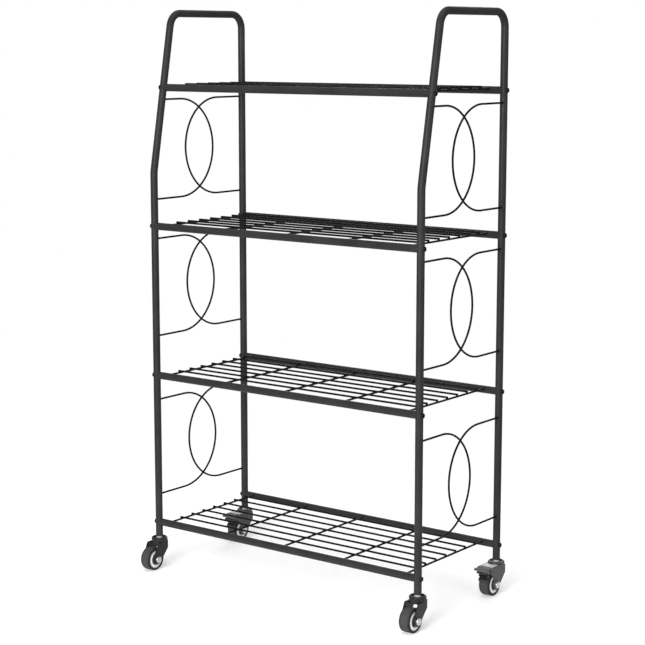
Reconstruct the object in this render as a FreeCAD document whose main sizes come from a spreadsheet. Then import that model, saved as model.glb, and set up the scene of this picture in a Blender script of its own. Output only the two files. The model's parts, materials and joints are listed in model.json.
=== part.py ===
import FreeCAD, Part
import math
import os
import Sketcher

# Rolling plant stand. Millimetres, X to the right, Y to the back, Z up.
# The origin is on the floor, midway between the four swivel axes.

SIZES = [
    # Frame tube
    ("frame_width", 588.5, "leg axis to leg axis along X"),
    ("frame_depth", 252.7, "leg axis to leg axis along Y"),
    ("tube_d", 13.5, "outer diameter of legs and rails"),
    ("tube_wall", 1.0, "wall of legs and rails"),
    ("loop_setback", 53.7, "how far the front leg has leaned back at the top"),
    ("knee_radius", 60.0, "bend radius of the knee, on the axis"),
    ("corner_radius", 27.0, "bend radius of the top corners, on the axis"),
    ("weld_gap", 0.05, "gap left at welded and seated faces"),
    ("overrun", 4.0, "how far cutting shapes run past what they cut"),
    # Heights, each above the one before it
    ("shelf_rise", 27.2, "foot of a leg to the rail axis of the bottom shelf"),
    ("bottom_tier", 281.5, "bottom shelf to lower shelf"),
    ("lower_tier", 278.5, "lower shelf to upper shelf"),
    ("upper_tier", 251.9, "upper shelf to top shelf"),
    ("handle_rise", 133.7, "top shelf to the axis of the top run"),
    ("knee_rise", 98.8, "upper shelf to where the front leg starts to lean back"),
    # Shelf wires
    ("cross_wire_d", 3.6, "diameter of the cross wires"),
    ("cross_wire_rise", 2.6, "cross wire axis above the rail axis"),
    ("cross_wire_inset", 27.25, "leg axis to the outer cross wire along X"),
    ("deck_wire_d", 3.6, "diameter of the deck wires"),
    ("deck_wire_overhang", 1.2, "deck wire end past the outer cross wire axis"),
    # Wire panels in the side frames
    ("loop_wire_d", 3.6, "diameter of the panel wires"),
    ("loop_radius", 90.6, "radius of the round end of a panel wire"),
    ("loop_lap", 36.6, "how far a round end passes the middle of the frame"),
    ("upper_panel_rise", 140.0, "upper shelf to the middle of the upper wire panel"),
    ("middle_panel_rise", 164.8, "lower shelf to the middle of the middle wire panel"),
    ("lower_panel_rise", 144.6, "bottom shelf to the middle of the lower wire panel"),
    # Bolted rail ends
    ("bolt_d", 6.0, "shank diameter of a shelf bolt"),
    ("bolt_head_d", 9.2, "diameter of a shelf bolt head"),
    ("bolt_head_h", 2.3, "height of a shelf bolt head"),
    ("bolt_head_round", 1.7, "rounding of a shelf bolt head"),
    ("bolt_socket_d", 4.0, "across corners of the socket in a bolt head"),
    ("bolt_socket_depth", 1.4, "depth of the socket in a bolt head"),
    ("bolt_length", 26.0, "shank length of a shelf bolt"),
    ("bolt_clearance", 0.2, "radial room of a bolt in the leg"),
    ("thread_clearance", 0.05, "radial room of a screw in its insert"),
    ("nut_length", 14.0, "length of a rail end nut"),
    ("nut_setback", 9.0, "leg axis to the near face of a rail end nut"),
    # Caster stem and leg insert
    ("stem_d", 8.0, "diameter of a caster stem"),
    ("insert_length", 24.0, "length of the threaded insert in a leg"),
    ("stem_reach", 21.0, "how far a stem goes up into its leg"),
    ("collar_d", 11.5, "diameter of the stem collar"),
    ("stem_head_d", 14.0, "diameter of the stem head under the crown"),
    ("stem_head_h", 2.4, "height of the stem head under the crown"),
    ("swivel_clearance", 0.3, "gap between the crown and the collar or stem head"),
    ("running_clearance", 0.05, "radial room of a turning fit"),
    # Caster fork
    ("crown_gap", 4.4, "top of the wheel to the underside of the crown"),
    ("crown_h", 11.8, "height of the crown"),
    ("crown_drop", 1.8, "top of the crown to the foot of the leg"),
    ("crown_d", 30.0, "diameter of the crown"),
    ("crown_round", 2.4, "rounding of the crown's upper edge"),
    ("dish_d", 23.5, "diameter of the dish in the crown round the collar"),
    ("dish_depth", 2.8, "depth of the dish in the crown round the collar"),
    ("trail", 21.0, "swivel axis to wheel axle"),
    ("cheek_gap", 24.2, "clear width between the cheeks"),
    ("cheek_wall", 2.6, "thickness of a cheek"),
    ("cheek_end_radius", 9.5, "radius of the cheek's end round the axle"),
    ("cheek_back", 7.5, "rear edge of a cheek behind the swivel axis"),
    ("cheek_knee_drop", 8.9, "underside of the crown to where the rear edge starts to lean"),
    ("cheek_drop", 8.8, "top of the crown to the top of a plain cheek in front of it"),
    ("cheek_front", 18.5, "top front corner of a plain cheek from the swivel axis"),
    ("cheek_corner_radius", 3.0, "rounding of a cheek's corners"),
    ("lug_front", 41.0, "front of a braked cheek's lug from the swivel axis"),
    ("lug_drop", 4.6, "top of the crown to the top of a braked cheek"),
    ("lug_h", 9.6, "height of the lug's front edge"),
    ("gusset_front", 27.0, "where the lug's lower edge meets the cheek, from the swivel axis"),
    ("gusset_rise", 14.0, "wheel axle up to where the lug's lower edge meets the cheek"),
    # Axle and wheel
    ("wheel_d", 43.0, "wheel diameter"),
    ("tyre_width", 21.6, "width of the tyre"),
    ("tyre_round", 3.0, "rounding of the tyre's shoulders"),
    ("tyre_depth", 4.0, "radial thickness of the tyre"),
    ("rim_width", 17.6, "width of the rim's outer ring at its edge"),
    ("rim_slope", 1.6, "how far the ring's inner edge stands out past its outer edge"),
    ("rim_ring", 5.8, "radial thickness of the rim's outer ring"),
    ("rim_web", 8.0, "thickness of the web between ring and hub"),
    ("hub_d", 15.0, "diameter of the hub"),
    ("hub_width", 22.6, "width of the hub"),
    ("bush_wall", 1.4, "wall of the wheel bush"),
    ("bush_end_gap", 0.3, "gap between the bush and a cheek"),
    ("axle_d", 6.0, "diameter of the axle bolt"),
    ("axle_head_d", 13.4, "diameter of the axle bolt head"),
    ("axle_head_h", 4.2, "height of the axle bolt head"),
    ("axle_head_round", 2.2, "rounding of the axle bolt head"),
    ("axle_nut_d", 11.5, "axle nut across corners"),
    ("axle_nut_h", 4.0, "thickness of the axle nut"),
    ("axle_tip", 1.2, "axle bolt end past its nut"),
    # Brake on the rear casters
    ("pivot_forward", 36.5, "pedal pivot in front of the swivel axis"),
    ("pivot_drop", 7.0, "top of the lug to the pedal pivot"),
    ("pin_d", 3.0, "diameter of the pedal pin"),
    ("pin_proud", 0.8, "how far the pedal pin stands out of a cheek"),
    ("pedal_rise", 0.6, "top of the lug to the top of the pedal"),
    ("pedal_wall", 1.8, "thickness of the pedal plate and its ears"),
    ("pedal_width", 29.4, "width of the pedal's front edge"),
    ("pedal_front", 52.0, "front edge of the pedal from the swivel axis"),
    ("pedal_back", 13.0, "rear edge of the pedal from the swivel axis"),
    ("pedal_wing", 5.5, "length of the wide part of the pedal along its front"),
    ("pedal_notch_gap", 1.3, "gap between the crown and the round notch in the pedal"),
    ("pedal_fall", 2.0, "how far the pedal slopes down from its crease to its front"),
    ("pedal_lip", 1.2, "turned-down lip at the front of the pedal"),
    ("pedal_bend", 2.2, "outer bend radius of the pedal's lip"),
    ("pedal_crease", 34.6, "crease across the pedal from the swivel axis"),
    ("pedal_crease_w", 1.4, "width of the crease"),
    ("pedal_crease_depth", 0.7, "depth of the crease"),
    ("pedal_ridge_h", 0.45, "height of the ridges on the pedal"),
    ("pedal_ridge_w", 1.4, "width of a ridge on the pedal"),
    ("pedal_ridge_pitch", 3.4, "spacing of the ridges on the pedal"),
    ("ear_front", 45.2, "front edge of a pedal ear from the swivel axis"),
    ("ear_back", 31.0, "rear edge of a pedal ear from the swivel axis"),
    ("ear_drop", 8.5, "underside of the pedal to the lower edge of an ear"),
    ("ear_round", 3.6, "rounding of a pedal ear's lower corners"),
    ("ear_gap", 0.3, "gap between a cheek and a pedal ear"),
    ("shoe_gap", 2.8, "gap between the released shoe and the tread"),
    ("shoe_width", 18.4, "width of the brake shoe"),
    ("shoe_back", 28.0, "rear of the brake shoe from the swivel axis"),
    ("shoe_neck", 41.0, "front of the brake shoe above and below its top tooth, from the swivel axis"),
    ("shoe_brow_front", 51.2, "front of the shoe's top tooth from the swivel axis"),
    ("shoe_front", 2.9, "how far the tips of the shoe's other teeth stand in front of the wheel"),
    ("shoe_notch", 4.2, "depth of the notch between the shoe's other teeth"),
    ("shoe_base_drop", 26.1, "pedal pivot down to the level that the top tooth's heights are taken from"),
    ("shoe_crest_rise", 26.8, "that level up to the top of the top tooth"),
    ("shoe_brow_rise", 23.8, "that level up to the lower corner of the top tooth"),
    ("shoe_neck_rise", 21.6, "wheel axle up to the notch below the top tooth"),
    ("shoe_upper_rise", 18.8, "wheel axle up to the middle tooth's tip"),
    ("shoe_notch_rise", 15.4, "wheel axle up to the notch below the middle tooth"),
    ("shoe_lower_rise", 12.0, "wheel axle up to the lower tooth's tip"),
    ("shoe_toe_rise", 8.6, "wheel axle up to the lower end of the shoe"),
]

CROSS_WIRE_COUNT = 5
DECK_WIRE_COUNT = 7
TOP_DECK_WIRE_COUNT = 6
PEDAL_RIDGE_COUNT = 4
SHELVES = ("top", "upper", "lower", "bottom")
PANELS = ("upper", "middle", "lower")
SIDES = {"left": -1, "right": 1}
CASTERS = {"front_left": (-1, -1), "front_right": (1, -1), "rear_left": (-1, 1), "rear_right": (1, 1)}
HEX_SIDE_COUNT = 6

doc = FreeCAD.newDocument("plant_stand")
sheet = doc.addObject("Spreadsheet::Sheet", "dim")
for row, (alias, value, note) in enumerate(SIZES, start=1):
    sheet.set("A%d" % row, note)
    sheet.set("B%d" % row, str(value))
    sheet.setAlias("B%d" % row, alias)
doc.recompute()

Vector = FreeCAD.Vector
AXIS_TURNS = {
    "x": FreeCAD.Rotation(Vector(0, 1, 0), 90),
    "y": FreeCAD.Rotation(Vector(1, 0, 0), -90),
    "z": FreeCAD.Rotation(),
}
nodes = []


# General helpers

def number(expression):
    """Value of an expression over the sheet."""
    return float(sheet.evalExpression(expression))


def bind(thing, **expressions):
    """Tie properties of an object to expressions over the sheet."""
    for name, expression in expressions.items():
        thing.setExpression(name, expression)


def place(thing, x="0", y="0", z="0", turn=None):
    """Put an object at a point given by expressions."""
    thing.Placement = FreeCAD.Placement(Vector(), turn or FreeCAD.Rotation())
    for letter, expression in zip("xyz", (x, y, z)):
        thing.setExpression("Placement.Base." + letter, expression)
    return thing


def cylinder(name, radius, length, axis="z", x="0", y="0", z="0"):
    """Cylinder that starts at a point and runs along an axis."""
    solid = doc.addObject("Part::Cylinder", name)
    bind(solid, Radius=radius, Height=length)
    return place(solid, x, y, z, AXIS_TURNS[axis])


def cut(name, base, tool):
    """Base shape with the tool taken away."""
    result = doc.addObject("Part::Cut", name)
    result.Base = base
    result.Tool = tool
    return result


def compound(name, members):
    """Group of separate shapes."""
    group = doc.addObject("Part::Compound", name)
    group.Links = members
    return group


def node(thing, label):
    """Mark an object as one of the stand's named pieces."""
    thing.Label = label
    nodes.append(thing)
    return thing


def plane(body, role):
    """Origin plane of a body."""
    for feature in body.Origin.OriginFeatures:
        if feature.Role == role:
            return feature


def new_sketch(body, name, role, lift=None):
    """Sketch on an origin plane, lifted along its normal."""
    sketch = body.newObject("Sketcher::SketchObject", name)
    sketch.AttachmentSupport = [(plane(body, role), "")]
    sketch.MapMode = "FlatFace"
    if lift:
        sketch.setExpression("AttachmentOffset.Base.z", lift)
    return sketch


def fix_point(sketch, geometry, end, u, v):
    """Hold a sketch point at coordinates given by expressions."""
    for kind, axis_line, expression in (("DistanceX", -2, u), ("DistanceY", -1, v)):
        if expression == "0":
            sketch.addConstraint(Sketcher.Constraint("PointOnObject", geometry, end, axis_line))
            continue
        held = Sketcher.Constraint(kind, -1, 1, geometry, end, number(expression))
        index = sketch.addConstraint(held)
        sketch.setExpression("Constraints[%d]" % index, expression)


def fix_value(sketch, constraint, expression):
    """Add a size constraint and tie it to an expression."""
    index = sketch.addConstraint(constraint)
    sketch.setExpression("Constraints[%d]" % index, expression)


def circle(sketch, u, v, radius):
    """Circle with its centre and radius given by expressions."""
    centre = Vector(number(u), number(v), 0)
    index = sketch.addGeometry(Part.Circle(centre, Vector(0, 0, 1), number(radius)))
    fix_point(sketch, index, 3, u, v)
    fix_value(sketch, Sketcher.Constraint("Radius", index, number(radius)), radius)
    return index


def corner_arc(before, corner, after, radius):
    """Tangent arc at a corner: its two ends, its shape and whether it turns left."""
    to_before = (before - corner).normalize()
    to_after = (after - corner).normalize()
    half = to_before.getAngle(to_after) / 2
    reach = radius / math.tan(half)
    middle = (to_before + to_after).normalize()
    centre = corner + middle * (radius / math.sin(half))
    first = corner + to_before * reach
    last = corner + to_after * reach
    turns_left = to_before.cross(to_after).z < 0
    begin, end = (first, last) if turns_left else (last, first)
    angles = [math.atan2(point.y - centre.y, point.x - centre.x) for point in (begin, end)]
    arc = Part.ArcOfCircle(Part.Circle(centre, Vector(0, 0, 1), radius), angles[0], angles[1])
    return first, last, arc, turns_left


def round_end(before, centre, after, radius):
    """Arc about a centre, touched by the lines from two outer points: as corner_arc gives it."""
    turns_left = (centre - before).cross(after - centre).z > 0
    touches = []
    for outer, hand in ((before, -1), (after, 1)):
        way = centre - outer
        angle = math.asin(radius / way.Length) * (hand if turns_left else -hand)
        length = math.sqrt(way.Length ** 2 - radius ** 2)
        turned = FreeCAD.Rotation(Vector(0, 0, 1), math.degrees(angle)).multVec(way)
        touches.append(outer + turned.normalize() * length)
    begin, end = touches if turns_left else reversed(touches)
    angles = [math.atan2(point.y - centre.y, point.x - centre.x) for point in (begin, end)]
    arc = Part.ArcOfCircle(Part.Circle(centre, Vector(0, 0, 1), radius), angles[0], angles[1])
    return touches[0], touches[1], arc, turns_left


def outline(sketch, corners, closed=True):
    """Lines through corners given by expressions.

    A corner is (u, v), or (u, v, radius) where it is rounded, or (u, v, radius, "about") where
    the line goes round a circle with its centre there.
    """
    points = [Vector(number(corner[0]), number(corner[1]), 0) for corner in corners]
    count = len(points)
    starts = list(points)
    ends = list(points)
    arcs = {}
    for kind, make in ((4, round_end), (3, corner_arc)):
        for index, corner in enumerate(corners):
            if len(corner) == kind:
                after = ends[(index + 1) % count]
                found = make(starts[index - 1], points[index], after, number(corner[2]))
                ends[index], starts[index] = found[0], found[1]
                arcs[index] = found[2:]
    lines = []
    for index in range(count if closed else count - 1):
        segment = Part.LineSegment(starts[index], ends[(index + 1) % count])
        lines.append(sketch.addGeometry(segment))
    for index, corner in enumerate(corners):
        inner = closed or 0 < index < count - 1
        if index in arcs:
            arc, turns_left = arcs[index]
            bend = sketch.addGeometry(arc)
            near, far = (1, 2) if turns_left else (2, 1)
            sketch.addConstraint(Sketcher.Constraint("Tangent", lines[index - 1], 2, bend, near))
            sketch.addConstraint(Sketcher.Constraint("Tangent", bend, far, lines[index], 1))
            fix_value(sketch, Sketcher.Constraint("Radius", bend, number(corner[2])), corner[2])
            if len(corner) == 4:
                fix_point(sketch, bend, 3, corner[0], corner[1])
                continue
            apex = sketch.addGeometry(Part.Point(points[index]), True)
            for line in (lines[index - 1], lines[index]):
                sketch.addConstraint(Sketcher.Constraint("PointOnObject", apex, 1, line))
            fix_point(sketch, apex, 1, corner[0], corner[1])
        elif inner:
            sketch.addConstraint(Sketcher.Constraint("Coincident", lines[index - 1], 2, lines[index], 1))
            fix_point(sketch, lines[index], 1, corner[0], corner[1])
        elif index == 0:
            fix_point(sketch, lines[0], 1, corner[0], corner[1])
        else:
            fix_point(sketch, lines[-1], 2, corner[0], corner[1])


def hexagon(sketch, across_corners):
    """Regular hexagon about the sketch's origin."""
    radius = number(across_corners) / 2
    corners = [Vector(radius, 0, 0)]
    for step in range(1, HEX_SIDE_COUNT):
        angle = 2 * math.pi * step / HEX_SIDE_COUNT
        corners.append(Vector(radius * math.cos(angle), radius * math.sin(angle), 0))
    guide = sketch.addGeometry(Part.Circle(Vector(), Vector(0, 0, 1), radius), True)
    fix_point(sketch, guide, 3, "0", "0")
    fix_value(sketch, Sketcher.Constraint("Radius", guide, radius), across_corners + " / 2")
    sides = []
    for step in range(HEX_SIDE_COUNT):
        segment = Part.LineSegment(corners[step], corners[(step + 1) % HEX_SIDE_COUNT])
        sides.append(sketch.addGeometry(segment))
    for step in range(HEX_SIDE_COUNT):
        sketch.addConstraint(Sketcher.Constraint("Coincident", sides[step - 1], 2, sides[step], 1))
        sketch.addConstraint(Sketcher.Constraint("PointOnObject", sides[step], 1, guide))
    for step in range(1, HEX_SIDE_COUNT):
        sketch.addConstraint(Sketcher.Constraint("Equal", sides[0], sides[step]))
    sketch.addConstraint(Sketcher.Constraint("PointOnObject", sides[0], 1, -1))


def feature(body, kind, name, profile, **expressions):
    """Sketch-based feature of a body."""
    made = body.newObject("PartDesign::" + kind, name)
    made.Profile = profile
    bind(made, **expressions)
    return made


def both_ways(made):
    """Let a pad or pocket run to both sides of its sketch."""
    made.SideType = "Symmetric"
    return made


def through(body, name, sketch):
    """Cut a sketch right through a body to both sides, and check that it cut."""
    doc.recompute()
    before = body.Shape.Volume
    made = both_ways(feature(body, "Pocket", name, sketch))
    made.Type = "ThroughAll"
    doc.recompute()
    if body.Shape.Volume >= before:
        raise ValueError(name + " cut nothing")
    return made


def revolved(name, corners, axis):
    """Body turned from half a section, with corners as (along the axis, radius)."""
    body = doc.addObject("PartDesign::Body", name)
    if axis == "z":
        section = new_sketch(body, name + "_section", "XZ_Plane")
        outline(section, [(corner[1], corner[0]) + tuple(corner[2:]) for corner in corners])
        turning_axis = "V_Axis"
    else:
        section = new_sketch(body, name + "_section", "XY_Plane")
        outline(section, corners)
        turning_axis = "H_Axis"
    made = feature(body, "Revolution", name + "_turned", section)
    made.ReferenceAxis = (section, [turning_axis])
    return body


# Places that several pieces share

HALF_WIDTH = "dim.frame_width / 2"
BACK_Y = "dim.frame_depth / 2"
TUBE_R = "dim.tube_d / 2"
BORE_R = "(dim.tube_d / 2 - dim.tube_wall)"
AXLE_Z = "dim.wheel_d / 2"
CROWN_BASE = "(dim.wheel_d + dim.crown_gap)"
CROWN_TOP = "(%s + dim.crown_h)" % CROWN_BASE
FOOT_Z = "(%s + dim.crown_drop)" % CROWN_TOP
SHELF_Z = {"bottom": "(%s + dim.shelf_rise)" % FOOT_Z}
SHELF_Z["lower"] = "(%s + dim.bottom_tier)" % SHELF_Z["bottom"]
SHELF_Z["upper"] = "(%s + dim.lower_tier)" % SHELF_Z["lower"]
SHELF_Z["top"] = "(%s + dim.upper_tier)" % SHELF_Z["upper"]
KNEE_Z = "(%s + dim.knee_rise)" % SHELF_Z["upper"]
LOOP_Z = "(%s + dim.handle_rise)" % SHELF_Z["top"]
LEAN = "dim.loop_setback / (dim.upper_tier + dim.handle_rise - dim.knee_rise)"
PANEL_Z = {
    "upper": "(%s + dim.upper_panel_rise)" % SHELF_Z["upper"],
    "middle": "(%s + dim.middle_panel_rise)" % SHELF_Z["lower"],
    "lower": "(%s + dim.lower_panel_rise)" % SHELF_Z["bottom"],
}
CHEEK_OUT = "(dim.cheek_gap / 2 + dim.cheek_wall)"
CHEEK_TOP = "(%s - dim.cheek_drop)" % CROWN_TOP
LUG_TOP = "(%s - dim.lug_drop)" % CROWN_TOP
PIVOT_Z = "(%s - dim.pivot_drop)" % LUG_TOP
SHOE_BASE = "(%s - dim.shoe_base_drop)" % PIVOT_Z
PEDAL_TOP = "(%s + dim.pedal_rise)" % LUG_TOP
PEDAL_LOW = "(%s - dim.pedal_wall)" % PEDAL_TOP
STEM_BORE_R = "(dim.stem_d / 2 + dim.running_clearance)"
BUSH_BORE_R = "(dim.axle_d / 2 + dim.running_clearance)"
BUSH_R = "(%s + dim.bush_wall)" % BUSH_BORE_R
RIM_R = "(dim.wheel_d / 2 - dim.tyre_depth)"
ARM_HALF = "(dim.cheek_gap / 2 - dim.ear_gap)"
EAR_MIDDLE = "(%s - dim.pedal_wall / 2)" % ARM_HALF


def front_y(height):
    """Y of the front leg's axis at a height: upright below the knee, leaning above it."""
    return "(-dim.frame_depth / 2 + max(0; %s - %s) * %s)" % (height, KNEE_Z, LEAN)


def times(sign, expression):
    """Expression on the left or right side, or the front or rear."""
    return expression if sign > 0 else "-(%s)" % expression


# Side frames

def leg_spine(body, name):
    """Axis of a side frame: up the rear leg, over the top, down the front leg."""
    spine = new_sketch(body, name, "YZ_Plane")
    top_front = "-dim.frame_depth / 2 + dim.loop_setback"
    outline(spine, [
        (BACK_Y, FOOT_Z),
        (BACK_Y, LOOP_Z, "dim.corner_radius"),
        (top_front, LOOP_Z, "dim.corner_radius"),
        ("-dim.frame_depth / 2", KNEE_Z, "dim.knee_radius"),
        ("-dim.frame_depth / 2", FOOT_Z),
    ], closed=False)
    return spine


def swept(body, name, spine, ring):
    """Pipe along all of a spine."""
    doc.recompute()
    pipe = feature(body, "AdditivePipe", name, ring)
    pipe.Spine = (spine, ["Edge%d" % (index + 1) for index in range(len(spine.Shape.Edges))])
    return pipe


def side_tube(name, radii, side):
    """Bent tube of a side frame, with one circle for each radius."""
    body = doc.addObject("PartDesign::Body", name)
    spine = leg_spine(body, name + "_spine")
    ring = new_sketch(body, name + "_ring", "XY_Plane", FOOT_Z)
    for radius in radii:
        circle(ring, "0", BACK_Y, radius)
    swept(body, name + "_pipe", spine, ring)
    return place(body, x=times(side, HALF_WIDTH))


def side_frame(word, side):
    body = side_tube(word + "_frame", (TUBE_R, BORE_R), side)
    holes = new_sketch(body, word + "_bolt_holes", "YZ_Plane")
    for shelf in SHELVES:
        for y in (BACK_Y, front_y(SHELF_Z[shelf])):
            circle(holes, y, SHELF_Z[shelf], "dim.bolt_d / 2 + dim.bolt_clearance")
    through(body, word + "_drilled", holes)
    return node(body, word + "_side_frame")


leg_space = {}
for word, side in SIDES.items():
    side_frame(word, side)
    leg_space[word] = side_tube(word + "_leg_space", ("dim.tube_d / 2 + dim.weld_gap",), side)
both_leg_spaces = compound("both_leg_spaces", list(leg_space.values()))


# Shelves

def rail(shelf, place_word, y):
    """Rail tube between the side frames, its ends hollowed to fit the legs."""
    name = "%s_%s_rail" % (shelf, place_word)
    height = SHELF_Z[shelf]
    start = "-dim.frame_width / 2"
    tube = cylinder(name + "_tube", TUBE_R, "dim.frame_width", "x", start, y, height)
    bore = cylinder(name + "_bore", BORE_R, "dim.frame_width", "x", start, y, height)
    node(cut(name, cut(name + "_pipe", tube, bore), both_leg_spaces), name)
    radius = "dim.tube_d / 2 + dim.weld_gap"
    return cylinder(name + "_space", radius, "dim.frame_width", "x", start, y, height)


def shelf_wires(shelf, rail_spaces, front):
    """Cross wires welded to the rails, and deck wires welded on top of them."""
    cross_z = "%s + dim.cross_wire_rise" % SHELF_Z[shelf]
    deck_z = "%s + (dim.cross_wire_d + dim.deck_wire_d) / 2 + dim.weld_gap" % cross_z
    cross = []
    half_span = "(dim.frame_width / 2 - dim.cross_wire_inset)"
    for index in range(CROSS_WIRE_COUNT):
        x = "%s * %g" % (half_span, 2 * index / (CROSS_WIRE_COUNT - 1) - 1)
        name = "%s_cross_wire_%d" % (shelf, index + 1)
        length = "%s - %s" % (BACK_Y, front)
        cross.append(cylinder(name, "dim.cross_wire_d / 2", length, "y", x, front, cross_z))
    group = compound(shelf + "_cross_group", cross)
    rails = compound(shelf + "_rail_spaces", rail_spaces)
    node(cut(shelf + "_cross", group, rails), shelf + "_cross_wires")
    half_deck = "(%s + dim.deck_wire_overhang)" % half_span
    deck = []
    count = TOP_DECK_WIRE_COUNT if shelf == "top" else DECK_WIRE_COUNT
    for index in range(count):
        y = "%s + (%s - %s) * %d / %d" % (front, BACK_Y, front, index + 1, count + 1)
        name = "%s_deck_wire_%d" % (shelf, index + 1)
        wire = cylinder(name, "dim.deck_wire_d / 2", "2 * " + half_deck, "x", "-" + half_deck, y, deck_z)
        deck.append(wire)
    node(compound(shelf + "_deck", deck), shelf + "_deck_wires")


for shelf in SHELVES:
    front = front_y(SHELF_Z[shelf])
    spaces = [rail(shelf, "front", front), rail(shelf, "back", BACK_Y)]
    shelf_wires(shelf, spaces, front)


# Wire panels: a U of wire from the front leg and one from the rear leg, side by side where they cross

def loop_wire(name, centre, facing, starts, x, z):
    """U-shaped wire in the YZ plane with its round end towards +Y (facing 1) or -Y (facing -1)."""
    body = doc.addObject("PartDesign::Body", name)
    spine = new_sketch(body, name + "_spine", "YZ_Plane")
    radius = number("dim.loop_radius")
    middle = Vector(number(centre), 0, 0)
    rise = Vector(0, radius, 0)
    begin = Vector(number(starts[0]), radius, 0)
    finish = Vector(number(starts[1]), -radius, 0)
    top_run = spine.addGeometry(Part.LineSegment(begin, middle + rise))
    half_turn = math.pi / 2
    swing = (-half_turn, half_turn) if facing > 0 else (half_turn, half_turn + math.pi)
    bend = spine.addGeometry(Part.ArcOfCircle(Part.Circle(middle, Vector(0, 0, 1), radius), *swing))
    low_run = spine.addGeometry(Part.LineSegment(middle - rise, finish))
    upper, lower = (2, 1) if facing > 0 else (1, 2)
    spine.addConstraint(Sketcher.Constraint("Tangent", top_run, 2, bend, upper))
    spine.addConstraint(Sketcher.Constraint("Tangent", bend, lower, low_run, 1))
    spine.addConstraint(Sketcher.Constraint("Horizontal", top_run))
    spine.addConstraint(Sketcher.Constraint("Horizontal", low_run))
    fix_value(spine, Sketcher.Constraint("Radius", bend, radius), "dim.loop_radius")
    fix_point(spine, bend, 3, centre, "0")
    for line, end, start in ((top_run, 1, starts[0]), (low_run, 2, starts[1])):
        held = Sketcher.Constraint("DistanceX", -1, 1, line, end, number(start))
        fix_value(spine, held, start)
    ring = new_sketch(body, name + "_ring", "XZ_Plane", "-(%s)" % starts[0])
    circle(ring, "0", "dim.loop_radius", "dim.loop_wire_d / 2")
    swept(body, name + "_pipe", spine, ring)
    return place(body, x=x, z=z)


def wire_panel(word, side, panel):
    name = "%s_%s_panel" % (word, panel)
    z = PANEL_Z[panel]
    step = "(dim.loop_wire_d + dim.weld_gap) / 2"
    reach = "dim.loop_radius - dim.loop_lap"
    front_starts = [front_y("%s %s dim.loop_radius" % (z, sign)) for sign in ("+", "-")]
    inner_x = "%s - %s" % (times(side, HALF_WIDTH), times(side, step))
    outer_x = "%s + %s" % (times(side, HALF_WIDTH), times(side, step))
    front_loop = loop_wire(name + "_front", "-(%s)" % reach, 1, front_starts, inner_x, z)
    rear_loop = loop_wire(name + "_rear", reach, -1, [BACK_Y, BACK_Y], outer_x, z)
    pair = compound(name + "_pair", [front_loop, rear_loop])
    node(cut(name, pair, leg_space[word]), "%s_%s_wire_panel" % (word, panel))


for word, side in SIDES.items():
    for panel in PANELS:
        wire_panel(word, side, panel)


# Bolts and nuts at the rail ends

def rail_end_copies(master, name):
    """Copies of a piece that points along -X from the right legs, one at each rail end."""
    copies = []
    for shelf in SHELVES:
        height = SHELF_Z[shelf]
        for end_word, y in (("front", front_y(height)), ("back", BACK_Y)):
            for word, side in SIDES.items():
                copy = doc.addObject("App::Link", "_".join((name, shelf, end_word, word)))
                copy.LinkedObject = master
                turn = FreeCAD.Rotation(Vector(0, 0, 1), 0 if side > 0 else 180)
                copies.append(place(copy, times(side, HALF_WIDTH), y, height, turn))
    return compound(name + "_group", copies)


head_seat = "(dim.tube_d / 2 + dim.weld_gap)"
bolt = revolved("shelf_bolt", [
    ("%s - dim.bolt_length" % head_seat, "0"),
    ("%s + dim.bolt_head_h" % head_seat, "0"),
    ("%s + dim.bolt_head_h" % head_seat, "dim.bolt_head_d / 2", "dim.bolt_head_round"),
    (head_seat, "dim.bolt_head_d / 2"),
    (head_seat, "dim.bolt_d / 2"),
    ("%s - dim.bolt_length" % head_seat, "dim.bolt_d / 2"),
], "x")
socket = new_sketch(bolt, "bolt_socket", "YZ_Plane", "%s + dim.bolt_head_h" % head_seat)
hexagon(socket, "dim.bolt_socket_d")
doc.recompute()
plain_volume = bolt.Shape.Volume
feature(bolt, "Pocket", "bolt_socket_cut", socket, Length="dim.bolt_socket_depth")
doc.recompute()
if bolt.Shape.Volume >= plain_volume:
    raise ValueError("the bolt's socket cut nothing")
node(rail_end_copies(bolt, "shelf_bolt"), "shelf_bolts")

nut = revolved("rail_end_nut", [
    ("-dim.nut_setback - dim.nut_length", "dim.bolt_d / 2 + dim.thread_clearance"),
    ("-dim.nut_setback - dim.nut_length", "%s - dim.weld_gap" % BORE_R),
    ("-dim.nut_setback", "%s - dim.weld_gap" % BORE_R),
    ("-dim.nut_setback", "dim.bolt_d / 2 + dim.thread_clearance"),
], "x")
node(rail_end_copies(nut, "rail_end_nut"), "rail_end_nuts")


# Stems and leg inserts

def leg_copies(master, name):
    """Copies of a piece, one at the foot of each leg."""
    copies = []
    for word, (side, end) in CASTERS.items():
        copy = doc.addObject("App::Link", "%s_%s" % (name, word))
        copy.LinkedObject = master
        copies.append(place(copy, times(side, HALF_WIDTH), times(end, BACK_Y)))
    return compound(name + "_group", copies)


insert = revolved("leg_insert", [
    (FOOT_Z, "dim.stem_d / 2 + dim.thread_clearance"),
    (FOOT_Z, "%s - dim.weld_gap" % BORE_R),
    ("%s + dim.insert_length" % FOOT_Z, "%s - dim.weld_gap" % BORE_R),
    ("%s + dim.insert_length" % FOOT_Z, "dim.stem_d / 2 + dim.thread_clearance"),
], "z")
node(leg_copies(insert, "leg_insert"), "leg_inserts")

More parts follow.
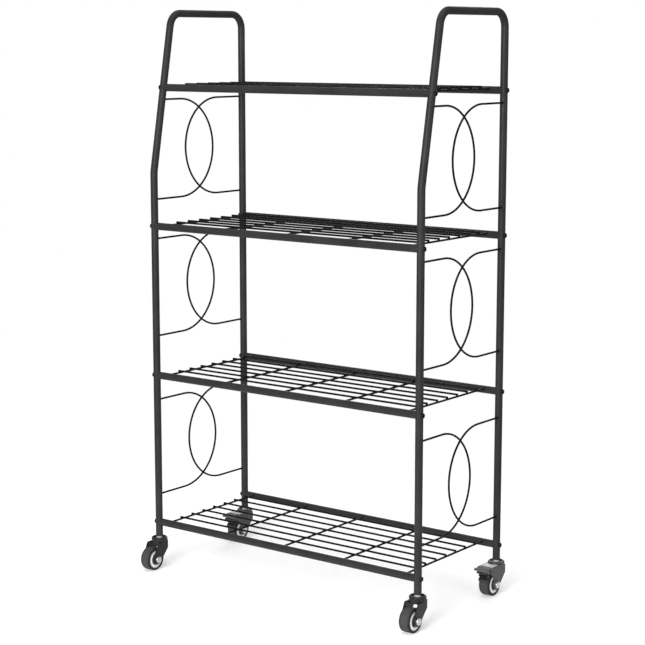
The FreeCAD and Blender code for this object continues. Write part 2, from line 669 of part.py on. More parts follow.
STEM_HEAD_TOP = "(%s - dim.swivel_clearance)" % CROWN_BASE
COLLAR_BASE = "(%s - dim.dish_depth + dim.swivel_clearance)" % CROWN_TOP
stem = revolved("caster_stem", [
    ("%s - dim.stem_head_h" % STEM_HEAD_TOP, "0"),
    ("%s - dim.stem_head_h" % STEM_HEAD_TOP, "dim.stem_head_d / 2"),
    (STEM_HEAD_TOP, "dim.stem_head_d / 2"),
    (STEM_HEAD_TOP, "dim.stem_d / 2"),
    (COLLAR_BASE, "dim.stem_d / 2"),
    (COLLAR_BASE, "dim.collar_d / 2"),
    (FOOT_Z, "dim.collar_d / 2"),
    (FOOT_Z, "dim.stem_d / 2"),
    ("%s + dim.stem_reach" % FOOT_Z, "dim.stem_d / 2"),
    ("%s + dim.stem_reach" % FOOT_Z, "0"),
], "z")
node(leg_copies(stem, "caster_stem"), "caster_stems")


# Casters. The wheel trails towards the front, and the axle lies along X.

def fork(word, site, braked):
    """Crown that turns on the stem, with a cheek on each side of the wheel."""
    name = word + "_fork"
    body = revolved(name, [
        (CROWN_BASE, STEM_BORE_R),
        (CROWN_BASE, "dim.crown_d / 2"),
        (CROWN_TOP, "dim.crown_d / 2", "dim.crown_round"),
        (CROWN_TOP, "dim.dish_d / 2"),
        ("%s - dim.dish_depth" % CROWN_TOP, "dim.dish_d / 2"),
        ("%s - dim.dish_depth" % CROWN_TOP, STEM_BORE_R),
    ], "z")
    crown_middle = "%s + dim.crown_h / 2" % CROWN_BASE
    corners = [
        ("dim.cheek_back", crown_middle),
        ("dim.cheek_back", "%s - dim.cheek_knee_drop" % CROWN_BASE, "dim.cheek_corner_radius"),
        ("-dim.trail", AXLE_Z, "dim.cheek_end_radius", "about"),
    ]
    if braked:
        corners.append(("-dim.gusset_front", "%s + dim.gusset_rise" % AXLE_Z, "dim.cheek_corner_radius"))
        corners.append(("-dim.lug_front", "%s - dim.lug_h" % LUG_TOP, "dim.cheek_corner_radius"))
        corners.append(("-dim.lug_front", LUG_TOP, "dim.cheek_corner_radius"))
        corners.append(("0", LUG_TOP))
    else:
        corners.append(("-dim.cheek_front", CHEEK_TOP, "dim.cheek_corner_radius"))
        corners.append(("0", CHEEK_TOP))
    corners.append(("0", crown_middle))
    for hand in (-1, 1):
        mid = times(hand, "(dim.cheek_gap + dim.cheek_wall) / 2")
        cheek = new_sketch(body, "%s_cheek_%d" % (name, hand), "YZ_Plane", mid)
        outline(cheek, corners)
        both_ways(feature(body, "Pad", "%s_plate_%d" % (name, hand), cheek, Length="dim.cheek_wall"))
    holes = new_sketch(body, name + "_holes", "YZ_Plane")
    circle(holes, "-dim.trail", AXLE_Z, "dim.axle_d / 2 + dim.thread_clearance")
    if braked:
        circle(holes, "-dim.pivot_forward", PIVOT_Z, "dim.pin_d / 2 + dim.thread_clearance")
    through(body, name + "_drilled", holes)
    return node(place(body, *site), name)


def at_axle(body, site):
    """Put a turned piece on the axle of a caster."""
    return place(body, site[0], "%s - dim.trail" % site[1], AXLE_Z)


def axle_parts(word, site):
    """Axle bolt with its head on the right, and the nut on its other end."""
    seat = "(%s + dim.weld_gap)" % CHEEK_OUT
    tip = "-%s - dim.axle_nut_h - dim.axle_tip" % seat
    name = word + "_axle_bolt"
    bolt_body = revolved(name, [
        (tip, "0"),
        ("%s + dim.axle_head_h" % seat, "0"),
        ("%s + dim.axle_head_h" % seat, "dim.axle_head_d / 2", "dim.axle_head_round"),
        (seat, "dim.axle_head_d / 2"),
        (seat, "dim.axle_d / 2"),
        (tip, "dim.axle_d / 2"),
    ], "x")
    node(at_axle(bolt_body, site), name)
    name = word + "_axle_nut"
    nut_body = doc.addObject("PartDesign::Body", name)
    flats = new_sketch(nut_body, name + "_flats", "YZ_Plane", "-%s - dim.axle_nut_h" % seat)
    hexagon(flats, "dim.axle_nut_d")
    circle(flats, "0", "0", "dim.axle_d / 2 + dim.thread_clearance")
    feature(nut_body, "Pad", name + "_pad", flats, Length="dim.axle_nut_h")
    node(at_axle(nut_body, site), name)


def mirrored(corners):
    """Half a wheel section, given from the middle outwards, with its mirror image."""
    other = [("-(%s)" % corner[0],) + tuple(corner[1:]) for corner in reversed(corners)]
    return list(corners) + other


def wheel(word, site):
    """Bush, rim with web and ring, and tyre."""
    bush_end = "dim.cheek_gap / 2 - dim.bush_end_gap"
    name = word + "_wheel_bush"
    bush = revolved(name, [
        ("-(%s)" % bush_end, BUSH_BORE_R),
        (bush_end, BUSH_BORE_R),
        (bush_end, BUSH_R),
        ("-(%s)" % bush_end, BUSH_R),
    ], "x")
    node(at_axle(bush, site), name)
    name = word + "_wheel_rim"
    rim = revolved(name, mirrored([
        ("dim.rim_width / 2", RIM_R),
        ("dim.rim_width / 2 + dim.rim_slope", "%s - dim.rim_ring" % RIM_R),
        ("dim.rim_web / 2", "%s - dim.rim_ring" % RIM_R),
        ("dim.rim_web / 2", "dim.hub_d / 2"),
        ("dim.hub_width / 2", "dim.hub_d / 2"),
        ("dim.hub_width / 2", "%s + dim.weld_gap" % BUSH_R),
    ]), "x")
    node(at_axle(rim, site), name)
    name = word + "_tyre"
    tyre = revolved(name, mirrored([
        ("dim.tyre_width / 2", "dim.wheel_d / 2", "dim.tyre_round"),
        ("dim.tyre_width / 2", "%s + dim.weld_gap" % RIM_R),
    ]), "x")
    node(at_axle(tyre, site), name)


def fallen(height, forward):
    """Height on the sloping front of the pedal, at a distance in front of the swivel axis."""
    share = "(%s - dim.pedal_crease) / (dim.pedal_front - dim.pedal_crease)" % forward
    return "(%s - dim.pedal_fall * %s)" % (height, share)


def brake_pedal(word, site):
    """Plate creased where its front slopes down, notched round the crown, with ears for the pin."""
    name = word + "_brake_pedal"
    body = doc.addObject("PartDesign::Body", name)
    front_inside = "dim.pedal_front - dim.pedal_wall"
    lip_low = "%s - dim.pedal_fall - dim.pedal_lip" % PEDAL_LOW
    plate = new_sketch(body, name + "_plate", "YZ_Plane")
    outline(plate, [
        ("-dim.pedal_back", PEDAL_LOW),
        ("-dim.pedal_back", PEDAL_TOP),
        ("-dim.pedal_crease", PEDAL_TOP),
        ("-dim.pedal_front", "%s - dim.pedal_fall" % PEDAL_TOP, "dim.pedal_bend"),
        ("-dim.pedal_front", lip_low),
        ("-(%s)" % front_inside, lip_low),
        ("-(%s)" % front_inside, fallen(PEDAL_LOW, "(%s)" % front_inside)),
        ("-dim.pedal_crease", PEDAL_LOW),
    ])
    both_ways(feature(body, "Pad", name + "_plate_pad", plate, Length="dim.pedal_width"))
    notch = new_sketch(body, name + "_notch", "XY_Plane")
    circle(notch, "0", "0", "dim.crown_d / 2 + dim.pedal_notch_gap")
    through(body, name + "_notched", notch)
    sides = new_sketch(body, name + "_sides", "XY_Plane")
    wing_back = "-dim.pedal_front + dim.pedal_wing"
    for hand in (-1, 1):
        near = times(hand, ARM_HALF)
        far = times(hand, "(dim.pedal_width / 2 + dim.overrun)")
        outline(sides, [(near, wing_back), (far, wing_back), (far, "dim.overrun"), (near, "dim.overrun")])
    through(body, name + "_narrowed", sides)
    for index in range(PEDAL_RIDGE_COUNT):
        forward = "(dim.pedal_front - dim.pedal_ridge_pitch * %d)" % (index + 1)
        near = "-%s - dim.pedal_ridge_w / 2" % forward
        far = "-%s + dim.pedal_ridge_w / 2" % forward
        low = "%s - dim.pedal_ridge_h" % fallen(PEDAL_TOP, forward)
        high = "%s + dim.pedal_ridge_h" % fallen(PEDAL_TOP, forward)
        ridge = new_sketch(body, "%s_ridge_%d" % (name, index + 1), "YZ_Plane")
        outline(ridge, [(near, low), (far, low), (far, high), (near, high)])
        long_way = "2 * %s - dim.pedal_ridge_w" % ARM_HALF
        both_ways(feature(body, "Pad", "%s_ridge_pad_%d" % (name, index + 1), ridge, Length=long_way))
    crease = new_sketch(body, name + "_crease", "YZ_Plane")
    crease_front = "-dim.pedal_crease - dim.pedal_crease_w / 2"
    crease_back = "-dim.pedal_crease + dim.pedal_crease_w / 2"
    crease_low = "%s - dim.pedal_crease_depth" % PEDAL_TOP
    over = "%s + dim.overrun" % PEDAL_TOP
    outline(crease, [
        (crease_front, crease_low),
        (crease_back, crease_low),
        (crease_back, over),
        (crease_front, over),
    ])
    through(body, name + "_creased", crease)
    ear_low = "%s - dim.ear_drop" % PEDAL_LOW
    inside = "(%s + dim.pedal_wall / 2)" % PEDAL_LOW
    for hand in (-1, 1):
        ear = new_sketch(body, "%s_ear_%d" % (name, hand), "YZ_Plane", times(hand, EAR_MIDDLE))
        outline(ear, [
            ("-dim.ear_front", fallen(inside, "dim.ear_front")),
            ("-dim.ear_front", ear_low, "dim.ear_round"),
            ("-dim.ear_back", ear_low, "dim.ear_round"),
            ("-dim.ear_back", inside),
            ("-dim.pedal_crease", inside),
        ])
        both_ways(feature(body, "Pad", "%s_ear_pad_%d" % (name, hand), ear, Length="dim.pedal_wall"))
    hole = new_sketch(body, name + "_hole", "YZ_Plane")
    circle(hole, "-dim.pivot_forward", PIVOT_Z, "dim.pin_d / 2 + dim.running_clearance")
    through(body, name + "_drilled", hole)
    return node(place(body, *site), name)


def pedal_pin(word, site):
    name = word + "_pedal_pin"
    half = "(%s + dim.pin_proud)" % CHEEK_OUT
    x = "%s - %s" % (site[0], half)
    y = "%s - dim.pivot_forward" % site[1]
    return node(cylinder(name, "dim.pin_d / 2", "2 * " + half, "x", x, y, PIVOT_Z), name)


def brake_shoe(word, site):
    """Block under the pedal, hollowed round the tread and the pin, with three teeth down its front."""
    name = word + "_brake_shoe"
    body = doc.addObject("PartDesign::Body", name)
    top = "(%s - dim.weld_gap)" % PEDAL_LOW
    tips = "-(dim.trail + dim.wheel_d / 2 + dim.shoe_front)"
    side = new_sketch(body, name + "_side", "YZ_Plane")
    outline(side, [
        ("-dim.shoe_back", top),
        ("-dim.pedal_crease", top),
        ("-dim.shoe_neck", fallen(top, "dim.shoe_neck")),
        ("-dim.shoe_neck", "%s + dim.shoe_crest_rise" % SHOE_BASE),
        ("-dim.shoe_brow_front", "%s + dim.shoe_crest_rise" % SHOE_BASE),
        ("-dim.shoe_brow_front", "%s + dim.shoe_brow_rise" % SHOE_BASE),
        ("-dim.shoe_neck", "%s + dim.shoe_neck_rise" % AXLE_Z),
        (tips, "%s + dim.shoe_upper_rise" % AXLE_Z),
        (tips + " + dim.shoe_notch", "%s + dim.shoe_notch_rise" % AXLE_Z),
        (tips, "%s + dim.shoe_lower_rise" % AXLE_Z),
        (tips, "%s + dim.shoe_toe_rise" % AXLE_Z),
        ("-dim.shoe_back", "%s + dim.shoe_toe_rise" % AXLE_Z),
    ])
    both_ways(feature(body, "Pad", name + "_pad", side, Length="dim.shoe_width"))
    hollow = new_sketch(body, name + "_hollow", "YZ_Plane")
    circle(hollow, "-dim.trail", AXLE_Z, "%s + dim.shoe_gap" % AXLE_Z)
    circle(hollow, "-dim.pivot_forward", PIVOT_Z, "dim.pin_d / 2 + dim.running_clearance")
    through(body, name + "_hollowed", hollow)
    return node(place(body, *site), name)


for word, (side, end) in CASTERS.items():
    site = (times(side, HALF_WIDTH), times(end, BACK_Y))
    braked = end > 0
    fork(word, site, braked)
    axle_parts(word, site)
    wheel(word, site)
    if braked:
        brake_pedal(word, site)
        pedal_pin(word, site)
        brake_shoe(word, site)


# Checks and output

doc.recompute()
for thing in doc.Objects:
    if "Invalid" in thing.State or "Error" in thing.State:
        raise ValueError("%s failed: %s" % (thing.Name, thing.State))
os.makedirs("parts", exist_ok=True)
for thing in nodes:
    shape = thing.Shape
    if shape.isNull() or not shape.isValid() or not shape.Solids:
        raise ValueError(thing.Label + " has no valid solid")
for thing in nodes:
    thing.Shape.exportStep("parts/%s.step" % thing.Label)
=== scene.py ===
import json
import math
import bmesh
import bpy
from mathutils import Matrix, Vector


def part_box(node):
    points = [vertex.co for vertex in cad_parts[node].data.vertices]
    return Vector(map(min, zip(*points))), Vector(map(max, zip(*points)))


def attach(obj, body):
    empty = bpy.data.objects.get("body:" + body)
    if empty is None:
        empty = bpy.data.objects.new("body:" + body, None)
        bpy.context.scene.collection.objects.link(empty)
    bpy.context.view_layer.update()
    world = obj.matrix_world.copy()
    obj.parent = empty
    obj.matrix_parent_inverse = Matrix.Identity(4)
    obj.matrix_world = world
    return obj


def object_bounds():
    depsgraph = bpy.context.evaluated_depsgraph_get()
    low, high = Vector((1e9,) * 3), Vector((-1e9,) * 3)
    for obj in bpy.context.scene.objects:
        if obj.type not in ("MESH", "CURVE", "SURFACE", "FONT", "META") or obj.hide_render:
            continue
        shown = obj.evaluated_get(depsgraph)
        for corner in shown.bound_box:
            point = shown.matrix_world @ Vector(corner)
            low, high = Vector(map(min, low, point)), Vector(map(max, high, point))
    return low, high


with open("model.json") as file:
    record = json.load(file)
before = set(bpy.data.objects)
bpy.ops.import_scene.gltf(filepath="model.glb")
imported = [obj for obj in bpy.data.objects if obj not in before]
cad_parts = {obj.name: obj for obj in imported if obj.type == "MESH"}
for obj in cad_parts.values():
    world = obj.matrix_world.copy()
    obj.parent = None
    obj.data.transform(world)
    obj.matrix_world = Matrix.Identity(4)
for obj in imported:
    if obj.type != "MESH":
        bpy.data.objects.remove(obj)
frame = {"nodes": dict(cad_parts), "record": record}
cad_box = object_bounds()

# Looks for the rolling plant stand. Metres, X to the right, Y to the back, Z up.

MICRON = 0.000001

# Words that the nodes' names are made of. Each side has its sign along X
SHELVES = ("top", "upper", "lower", "bottom")
PANELS = ("upper", "middle", "lower")
SIDES = {"left": -1, "right": 1}
ENDS = ("front", "rear")

# How many wires a shelf has across and along it
CROSS_WIRES = 5
DECK_WIRES = {"top": 6, "upper": 7, "lower": 7, "bottom": 7}

# Inner radius of the white ring on a wheel
RING_INSIDE = 0.0117
# How far along a brake pedal, from its front, the crease is
CREASE_SHARE = 0.446

# How much bluer than grey the dark finishes are
COOL = 1.03
# Noise goes from 0 to 1, and most of it lies between these
NOISE_LOW = 0.3
NOISE_HIGH = 0.7

# Weld beads: half sizes along X, Y and Z, as shares of the wires' radii
RAIL_BEAD = (1.35, 0.8, 1.25)
DECK_BEAD = (1.15, 1.15, 0.5)
LEG_BEAD = (1.3, 0.6, 1.3)
# How finely a bead is divided round and up
BEAD_SEGMENTS = 14
BEAD_RINGS = 8
# Heights of a bead's three large and five small lumps, and how far they turn from one bead to the next
LARGE_LUMP = 0.07
SMALL_LUMP = 0.04
BEAD_TURN = 1.7
# Points of a panel this near to a wire's middle height belong to that wire, as a share of its radius
WIRE_REACH = 1.1

# Floor: its edge, how far out it stays solid, how finely it is divided, its shades and its own glow
FLOOR_RADIUS = 1.25
FLOOR_SOLID = 0.38
FLOOR_SEGMENTS = 96
FLOOR_DARK = 0.92
FLOOR_LIGHT = 0.95
FLOOR_GLOW = 0.2

# Light from all round, and round lamps that face the middle of the stand: name, place, width and watts
AMBIENT = 0.4
LAMPS = (
    ("key", (0.7, -3.2, 1.25), 2.0, 135.0),
    ("fill", (3.3, -0.6, 1.0), 1.8, 18.0),
    ("top", (0.2, -0.4, 3.6), 2.8, 40.0),
    ("back", (-1.4, 3.0, 1.5), 2.2, 36.0),
)

# Camera, fitted to the photograph: where it stands, its angles in degrees, and its lens in millimetres
CAMERA_PLACE = (1.8811, -2.4894, 0.9862)
CAMERA_AZIMUTH = 37.125
CAMERA_TILT = -9.195
CAMERA_LENS = 97.48
SENSOR_WIDTH = 36.0

SLOT_OF = {part["node"]: part["material_slot"] for part in frame["record"]["subparts"]}


def middle(low, high):
    """Halfway between two numbers."""
    return (low + high) / 2


# Materials

def cool(grey):
    """A grey that is a little bluer than neutral."""
    return (grey, grey, grey * COOL)


class Surface:
    """A procedural material: a Principled shader whose inputs are fed by textures in object space."""

    def __init__(self, name, **settings):
        self.material = bpy.data.materials.new(name)
        self.material.use_nodes = True
        self.tree = self.material.node_tree
        self.shader = self.tree.nodes["Principled BSDF"]
        self.place = self.node("ShaderNodeTexCoord").outputs["Object"]
        for setting, value in settings.items():
            self.give(self.shader.inputs[setting.replace("_", " ")], value)

    def give(self, socket, value):
        """Link a socket to another one, or set it to a plain value."""
        if isinstance(value, bpy.types.NodeSocket):
            self.tree.links.new(value, socket)
        else:
            socket.default_value = value

    def node(self, kind, **inputs):
        """A new node with its inputs given by name, with _ for a space."""
        made = self.tree.nodes.new(kind)
        for name, value in inputs.items():
            self.give(made.inputs[name.replace("_", " ")], value)
        return made

    def along(self, axis):
        """Where a point of the surface is along X, Y or Z."""
        return self.node("ShaderNodeSeparateXYZ", Vector=self.place).outputs[axis]

    def noise(self, scale, detail=3.0, stretch=None):
        """Noise from 0 to 1, finer as scale grows, drawn out along the axes where stretch is under 1."""
        place = self.place
        if stretch:
            place = self.node("ShaderNodeMapping", Vector=place, Scale=stretch).outputs["Vector"]
        made = self.node("ShaderNodeTexNoise", Vector=place, Scale=scale, Detail=detail)
        return made.outputs["Fac"]

    def ramp(self, factor, stops):
        """Colours or greys at places from 0 to 1."""
        made = self.node("ShaderNodeValToRGB", Fac=factor)
        elements = made.color_ramp.elements
        while len(elements) < len(stops):
            elements.new(0.5)
        for element, (place, shade) in zip(elements, stops):
            element.position = place
            element.color = (*shade, 1.0) if isinstance(shade, tuple) else (shade, shade, shade, 1.0)
        return made.outputs["Color"]

    def span(self, factor, low, high):
        """Value from low to high as the factor goes over the middle of its range."""
        made = self.node(
            "ShaderNodeMapRange", Value=factor,
            From_Min=NOISE_LOW, From_Max=NOISE_HIGH, To_Min=low, To_Max=high,
        )
        return made.outputs["Result"]

    def calc(self, operation, *values):
        """Result of one operation on up to three values, each a socket or a number."""
        made = self.node("ShaderNodeMath")
        made.operation = operation
        for socket, value in zip(made.inputs, values):
            self.give(socket, value)
        return made.outputs["Value"]

    def stray(self, value, noise, width):
        """A value that noise moves by up to half of width either way."""
        return self.calc("MULTIPLY_ADD", noise, width, self.calc("SUBTRACT", value, width / 2))

    def feed(self, socket, source):
        """Link a source to one of the shader's own sockets."""
        self.tree.links.new(source, self.shader.inputs[socket])

    def bump(self, height, depth, strength, under=None):
        """Normals for heights from 0 to 1 times depth, on top of the bump under them if there is one."""
        made = self.node("ShaderNodeBump", Height=height, Distance=depth, Strength=strength)
        if under:
            self.tree.links.new(under, made.inputs["Normal"])
        return made.outputs["Normal"]


def powder_coat(name, greys, rough, specular):
    """Satin powder coat: faint cloudiness in colour and an orange-peel surface."""
    look = Surface(name, Specular_IOR_Level=specular)
    dark, light = greys
    cloud = look.noise(scale=22.0)
    look.feed("Base Color", look.ramp(cloud, [(NOISE_LOW, cool(dark)), (NOISE_HIGH, cool(light))]))
    look.feed("Roughness", look.span(look.noise(scale=160.0), *rough))
    fine = look.bump(look.noise(scale=1500.0, detail=2.0), depth=60 * MICRON, strength=0.6)
    peel = look.noise(scale=420.0, detail=2.0)
    look.feed("Normal", look.bump(peel, depth=80 * MICRON, strength=0.5, under=fine))
    return look.material


def plated_steel(name, greys, rough, metallic=1.0):
    """Zinc-plated or plain steel: spangled brightness and fine marks along X."""
    look = Surface(name, Metallic=metallic)
    dark, light = greys
    spangle = look.noise(scale=520.0, detail=4.0)
    look.feed("Base Color", look.ramp(spangle, [(0.34, cool(dark)), (0.62, light)]))
    look.feed("Roughness", look.span(look.noise(scale=700.0, detail=4.0), *rough))
    marks = look.noise(scale=2600.0, detail=2.0, stretch=(0.15, 1.0, 1.0))
    look.feed("Normal", look.bump(marks, depth=40 * MICRON, strength=0.6))
    return look.material


def painted_fork(name, greys, specular):
    """Pressed steel in dark paint, mottled and a little grainy."""
    look = Surface(name, Specular_IOR_Level=specular)
    dark, light = greys
    mottle = look.noise(scale=420.0, detail=6.0)
    look.feed("Base Color", look.ramp(mottle, [(0.32, cool(dark)), (0.68, cool(light))]))
    look.feed("Roughness", look.span(look.noise(scale=420.0), low=0.28, high=0.46))
    look.feed("Normal", look.bump(look.noise(scale=900.0), depth=100 * MICRON, strength=0.7))
    return look.material


def rubber(name, track, half_width):
    """Tyre rubber with fine ribs round it: a lighter tread between shoulders darkened with painted shade,
    and painted shade between the ribs.

    The tyres' middles are at track to either side of X = 0.
    """
    look = Surface(name, Specular_IOR_Level=0.22)
    from_middle = look.calc("SUBTRACT", look.calc("ABSOLUTE", look.along("X")), track)
    share = look.calc("DIVIDE", look.calc("ABSOLUTE", from_middle), half_width)
    uneven = look.stray(share, look.noise(scale=150.0, detail=4.0), width=0.3)
    # Painted shade: the colour darkens from the middle of the tread towards the shoulders
    painted_shoulder_shade = look.ramp(uneven, [(0.3, 0.052), (0.70, 0.042), (0.92, 0.011)])
    wave = look.node("ShaderNodeTexWave", Vector=look.place, Scale=130.0, Distortion=0.6)
    wave.bands_direction = "X"
    ribs = wave.outputs["Fac"]
    # The ribs also darken the colour between them: painted shade in the grooves
    look.feed("Base Color", look.calc("MULTIPLY", painted_shoulder_shade, look.span(ribs, low=0.6, high=1.05)))
    look.feed("Roughness", look.span(look.noise(scale=300.0), low=0.62, high=0.82))
    grain = look.bump(look.noise(scale=2400.0, detail=2.0), depth=60 * MICRON, strength=0.5)
    look.feed("Normal", look.bump(ribs, depth=120 * MICRON, strength=0.45, under=grain))
    return look.material


def moulded_normal(look):
    """Normals of moulded plastic: slight sink marks on a fine grain."""
    fine = look.bump(look.noise(scale=2200.0, detail=2.0), depth=30 * MICRON, strength=0.4)
    sinks = look.noise(scale=140.0, detail=1.0)
    return look.bump(sinks, depth=120 * MICRON, strength=0.3, under=fine)


def wheel_plastic_and_web_shade(name, axle_y, axle_z, ring_inside):
    """Moulded wheel: a white ring, from the radius ring_inside outwards, round a web painted dark grey as
    shade in its recess.
    """
    look = Surface(name, Coat_Weight=0.2, Coat_Roughness=0.2)
    back = look.calc("SUBTRACT", look.along("Y"), axle_y)
    up = look.calc("SUBTRACT", look.along("Z"), axle_z)
    square = look.calc("MULTIPLY_ADD", back, back, look.calc("MULTIPLY", up, up))
    # The ring starts at 0.5 on the ramp
    share = look.calc("DIVIDE", look.calc("SQRT", square), 2 * ring_inside)
    uneven = look.stray(share, look.noise(scale=260.0), width=0.04)
    # Inside the ring the colour is dark grey: painted shade in the recess behind the ring
    look.feed("Base Color", look.ramp(uneven, [(0.40, 0.055), (0.47, 0.10), (0.50, 0.60), (0.60, 0.68)]))
    look.feed("Roughness", look.span(look.noise(scale=350.0), low=0.28, high=0.4))
    look.feed("Normal", moulded_normal(look))
    return look.material


def moulded(name, dark, light, rough):
    """Moulded plastic of nearly even colour."""
    look = Surface(name)
    look.feed("Base Color", look.ramp(look.noise(scale=90.0), [(NOISE_LOW, dark), (NOISE_HIGH, light)]))
    look.feed("Roughness", look.span(look.noise(scale=350.0), *rough))
    look.feed("Normal", moulded_normal(look))
    return look.material


def worn_pedal_with_painted_light(name, crease, length):
    """Pressed steel, scuffed lengthwise: grey in front of the crease as painted shade, bright behind it as
    painted light, and painted shade in it.
    """
    look = Surface(name, Metallic=0.2, Specular_IOR_Level=0.3)
    scuff = look.noise(scale=260.0, detail=5.0, stretch=(1.0, 0.18, 1.0))
    # The crease is at 0.5 on the ramp, and the whole pedal is 1 long
    share = look.calc("DIVIDE", look.calc("SUBTRACT", look.along("Y"), crease), length)
    uneven = look.stray(look.calc("ADD", share, 0.5), scuff, width=0.03)
    painted_light_and_shade = look.ramp(uneven, [
        # In front of the crease: painted shade
        (0.1, 0.11), (0.44, 0.18),
        # In the crease: painted shade
        (0.48, 0.05), (0.52, 0.05),
        # Behind the crease: painted light
        (0.56, 0.60), (0.9, 0.66),
    ])
    worn = look.ramp(scuff, [(0.28, 0.7), (0.55, 0.92), (0.78, 1.0)])
    look.feed("Base Color", look.calc("MULTIPLY", painted_light_and_shade, worn))
    look.feed("Roughness", look.span(scuff, low=0.66, high=0.5))
    look.feed("Normal", look.bump(look.noise(scale=1300.0), depth=60 * MICRON, strength=0.5))
    return look.material


tyre_low, tyre_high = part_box("front_right_tyre")
TRACK = middle(tyre_low.x, tyre_high.x)
TYRE_HALF = (tyre_high.x - tyre_low.x) / 2
pedal_low, pedal_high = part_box("rear_right_brake_pedal")
PEDAL_LENGTH = pedal_high.y - pedal_low.y
CREASE = pedal_low.y + CREASE_SHARE * PEDAL_LENGTH

LOOKS = {
    "frame_tube": powder_coat("tube_coat", greys=(0.019, 0.028), rough=(0.36, 0.50), specular=0.12),
    "panel_wire": powder_coat("panel_wire_coat", greys=(0.004, 0.007), rough=(0.36, 0.50), specular=0.05),
    "shelf_wire": powder_coat("shelf_wire_coat", greys=(0.005, 0.009), rough=(0.36, 0.50), specular=0.05),
    "black_bolt": powder_coat("bolt_black", greys=(0.005, 0.010), rough=(0.28, 0.42), specular=0.12),
    "plain_steel": plated_steel("plain_steel", greys=(0.35, 0.50), rough=(0.33, 0.50)),
    "zinc": plated_steel("zinc_plate", greys=(0.30, 0.62), rough=(0.19, 0.36)),
    # A lighter, less metallic copy of the zinc for the caster stems: painted light
    "zinc_with_painted_light": plated_steel("bright_zinc_plate", greys=(0.50, 0.82), rough=(0.23, 0.40), metallic=0.4),
    "fork": painted_fork("fork_paint", greys=(0.020, 0.060), specular=0.3),
    "dark_fork": painted_fork("dark_fork_paint", greys=(0.007, 0.020), specular=0.2),
    "tyre": rubber("tyre_rubber", TRACK, TYRE_HALF),
    "bush": moulded("bush_plastic", dark=(0.30, 0.30, 0.28), light=(0.38, 0.38, 0.36), rough=(0.39, 0.51)),
    "pedal": worn_pedal_with_painted_light("pedal_steel", CREASE, PEDAL_LENGTH),
    "shoe": moulded("shoe_plastic", dark=0.008, light=0.015, rough=(0.44, 0.56)),
}
# Left and right wheels have their axles at the same Y and Z
for end in ENDS:
    low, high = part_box(end + "_right_tyre")
    axle_y = middle(low.y, high.y)
    axle_z = middle(low.z, high.z)
    LOOKS[end + "_rim"] = wheel_plastic_and_web_shade(end + "_rim_plastic", axle_y, axle_z, RING_INSIDE)

# Nodes whose look isn't the one of their material slot
# The caster stems take the zinc copy with painted light
SPECIAL = {"caster_stems": "zinc_with_painted_light"}
for side_word in SIDES:
    SPECIAL["front_%s_fork" % side_word] = "dark_fork"
    SPECIAL["rear_%s_pedal_pin" % side_word] = "fork"
    for end in ENDS:
        SPECIAL["%s_%s_wheel_rim" % (end, side_word)] = end + "_rim"


def dress(piece, look):
    """Give a piece a look by name."""
    if not piece.data.materials:
        piece.data.materials.append(None)
    for holder in piece.material_slots:
        holder.material = LOOKS[look]


for name, thing in frame["nodes"].items():
    dress(thing, SPECIAL.get(name, SLOT_OF[name]))


# Weld beads

def add_bead(mesh, centre, radii, turn):
    """One lumpy, squashed bead. Turn sets where its lumps are."""
    made = bmesh.ops.create_uvsphere(mesh, u_segments=BEAD_SEGMENTS, v_segments=BEAD_RINGS, radius=1.0)
    for vertex in made["verts"]:
        around = math.atan2(vertex.co.y, vertex.co.x)
        large = LARGE_LUMP * math.sin(3 * around + turn)
        small = SMALL_LUMP * math.sin(5 * around - 2 * turn)
        lump = 1.0 + large + small
        vertex.co = Vector(centre) + Vector(c * r * lump for c, r in zip(vertex.co, radii))


def bead_piece(name, centres, radii, slot):
    """One piece made of a bead at each centre."""
    mesh = bmesh.new()
    for index, centre in enumerate(centres):
        add_bead(mesh, centre, radii, index * BEAD_TURN)
    data = bpy.data.meshes.new(name)
    mesh.to_mesh(data)
    mesh.free()
    data.shade_smooth()
    piece = bpy.data.objects.new(name, data)
    bpy.context.scene.collection.objects.link(piece)
    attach(piece, "stand")
    dress(piece, slot)


def bead_radii(shares, *wires):
    """A bead's half sizes along X, Y and Z, from shares of wire radii."""
    return [share * wire for share, wire in zip(shares, wires)]


def wire_row(low, high, radius, count):
    """Middles of evenly spaced wires that fill the stretch from low to high."""
    pitch = (high - low - 2 * radius) / (count - 1)
    return [low + radius + pitch * index for index in range(count)]


def shelf_beads(shelf):
    """Beads where the cross wires meet the rails, and where the deck wires lie on the cross wires."""
    cross_low, cross_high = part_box(shelf + "_cross_wires")
    deck_low, deck_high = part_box(shelf + "_deck_wires")
    wire = (cross_high.z - cross_low.z) / 2
    deck_wire = (deck_high.z - deck_low.z) / 2
    xs = wire_row(cross_low.x, cross_high.x, wire, CROSS_WIRES)
    ys = wire_row(deck_low.y, deck_high.y, deck_wire, DECK_WIRES[shelf])
    cross_z = middle(cross_low.z, cross_high.z)
    ends = [(x, y, cross_z) for x in xs for y in (cross_low.y, cross_high.y)]
    bead_piece(shelf + "_rail_welds", ends, bead_radii(RAIL_BEAD, wire, wire, wire), "shelf_wire")
    meeting_z = middle(cross_high.z, deck_low.z)
    spots = [(x, y, meeting_z) for x in xs for y in ys]
    bead_piece(shelf + "_deck_welds", spots, bead_radii(DECK_BEAD, wire, deck_wire, wire), "shelf_wire")


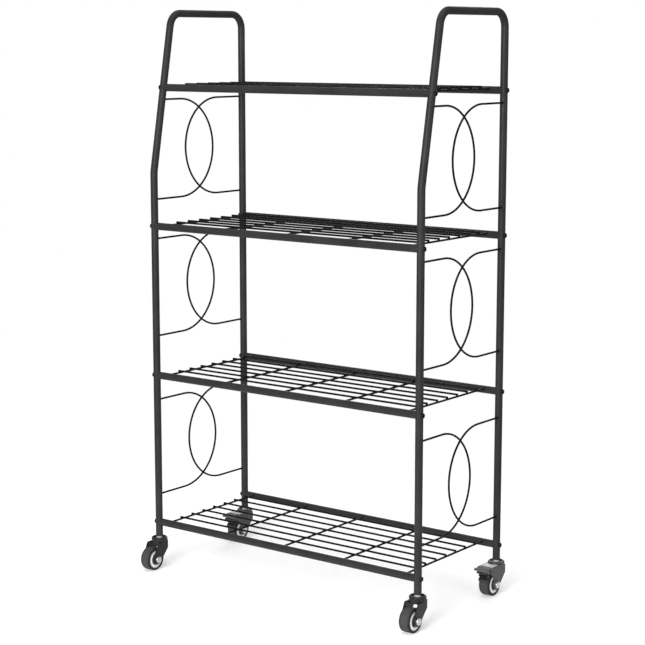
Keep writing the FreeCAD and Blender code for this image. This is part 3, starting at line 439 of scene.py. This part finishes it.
def panel_beads(side_word, side, panel):
    """Beads where the ends of a panel's two wires meet the legs."""
    name = "%s_%s_wire_panel" % (side_word, panel)
    low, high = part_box(name)
    # The two wires lie side by side, so the panel is four radii thick
    wire = (high.x - low.x) / 4
    inner, outer = (low.x, high.x) if side > 0 else (high.x, low.x)
    inner += side * wire
    outer -= side * wire
    points = [vertex.co for vertex in frame["nodes"][name].data.vertices]
    centres = []
    for z in (low.z + wire, high.z - wire):
        level = [point.y for point in points if abs(point.z - z) < wire * WIRE_REACH]
        centres += [(inner, min(level), z), (outer, max(level), z)]
    radii = bead_radii(LEG_BEAD, wire, wire, wire)
    bead_piece("%s_%s_leg_welds" % (side_word, panel), centres, radii, "frame_tube")


for shelf in SHELVES:
    shelf_beads(shelf)
for side_word, side in SIDES.items():
    for panel in PANELS:
        panel_beads(side_word, side, panel)


# Floor, light and camera

def add_floor():
    """Round white floor that glows a little and fades away towards its edge."""
    mesh = bmesh.new()
    bmesh.ops.create_circle(mesh, cap_ends=True, segments=FLOOR_SEGMENTS, radius=FLOOR_RADIUS)
    data = bpy.data.meshes.new("floor")
    mesh.to_mesh(data)
    mesh.free()
    floor = bpy.data.objects.new("floor", data)
    bpy.context.scene.collection.objects.link(floor)
    look = Surface("floor_paint", Roughness=0.8, Specular_IOR_Level=0.1, Emission_Strength=FLOOR_GLOW)
    shade = look.ramp(look.noise(scale=0.8), [(NOISE_LOW, FLOOR_DARK), (NOISE_HIGH, FLOOR_LIGHT)])
    look.feed("Base Color", shade)
    look.feed("Emission Color", shade)
    reach = look.node("ShaderNodeVectorMath", Vector=look.place)
    reach.operation = "LENGTH"
    fade = look.node(
        "ShaderNodeMapRange", Value=reach.outputs["Value"],
        From_Min=FLOOR_SOLID, From_Max=FLOOR_RADIUS, To_Min=1.0, To_Max=0.0,
    )
    fade.interpolation_type = "SMOOTHSTEP"
    look.feed("Alpha", fade.outputs["Result"])
    data.materials.append(look.material)


def add_world():
    """White all round: full white to the camera, softer as light on the object."""
    world = bpy.data.worlds.new("studio")
    world.use_nodes = True
    tree = world.node_tree
    background = tree.nodes["Background"]
    background.inputs["Color"].default_value = (1.0, 1.0, 1.0, 1.0)
    seen = tree.nodes.new("ShaderNodeLightPath").outputs["Is Camera Ray"]
    strength = tree.nodes.new("ShaderNodeMapRange")
    strength.inputs["To Min"].default_value = AMBIENT
    tree.links.new(seen, strength.inputs["Value"])
    tree.links.new(strength.outputs["Result"], background.inputs["Strength"])
    bpy.context.scene.world = world


def add_lamp(name, place, width, watts):
    """A round area lamp that faces the middle of the stand."""
    data = bpy.data.lights.new(name, "AREA")
    data.shape = "DISK"
    data.size = width
    data.energy = watts
    lamp = bpy.data.objects.new(name, data)
    lamp.location = place
    centre = (cad_box[0] + cad_box[1]) / 2
    lamp.rotation_euler = (centre - Vector(place)).to_track_quat("-Z", "Y").to_euler()
    bpy.context.scene.collection.objects.link(lamp)


def add_camera():
    """The camera at the photograph's viewing angle."""
    data = bpy.data.cameras.new("camera")
    data.sensor_width = SENSOR_WIDTH
    data.lens = CAMERA_LENS
    camera = bpy.data.objects.new("camera", data)
    camera.location = CAMERA_PLACE
    camera.rotation_euler = (math.radians(90 + CAMERA_TILT), 0.0, math.radians(CAMERA_AZIMUTH))
    bpy.context.scene.collection.objects.link(camera)
    bpy.context.scene.camera = camera


add_floor()
for lamp_settings in LAMPS:
    add_lamp(*lamp_settings)
add_world()
bpy.context.scene.view_settings.view_transform = "Standard"
add_camera()
